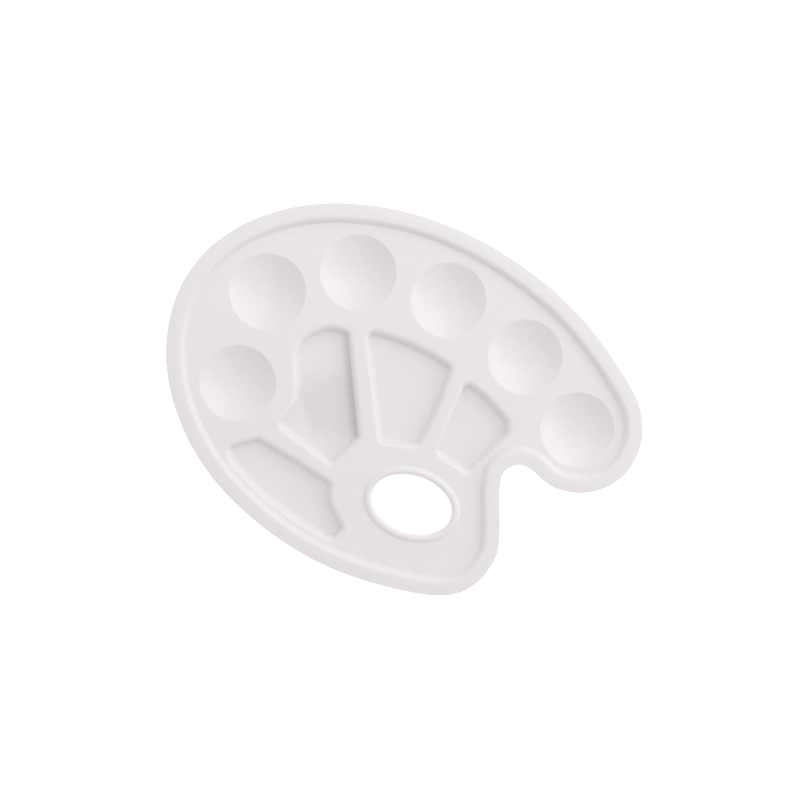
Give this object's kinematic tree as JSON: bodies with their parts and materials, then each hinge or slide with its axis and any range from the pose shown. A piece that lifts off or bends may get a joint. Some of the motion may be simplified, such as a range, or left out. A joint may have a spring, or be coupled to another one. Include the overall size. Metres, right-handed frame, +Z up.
{
  "type": "mixing palette",
  "caption": "Oval artist's paint palette: raised rim, round colour wells along one edge, flat mixing wells, a thumb hole with a raised collar and a finger notch.",
  "frame": {"origin": "bottom centre of the outline's bounding box, on the table plane under the mixing wells' undersides", "axes": "+X along the long axis toward the finger notch's end, +Y toward the row of round wells, +Z up out of the wells"},
  "size_m": [0.2297, 0.1723, 0.01],
  "materials": {
    "palette": "satin white moulded plastic"
  },
  "bodies": {
    "root": {"palette": "palette"}
  },
  "joints": []
}
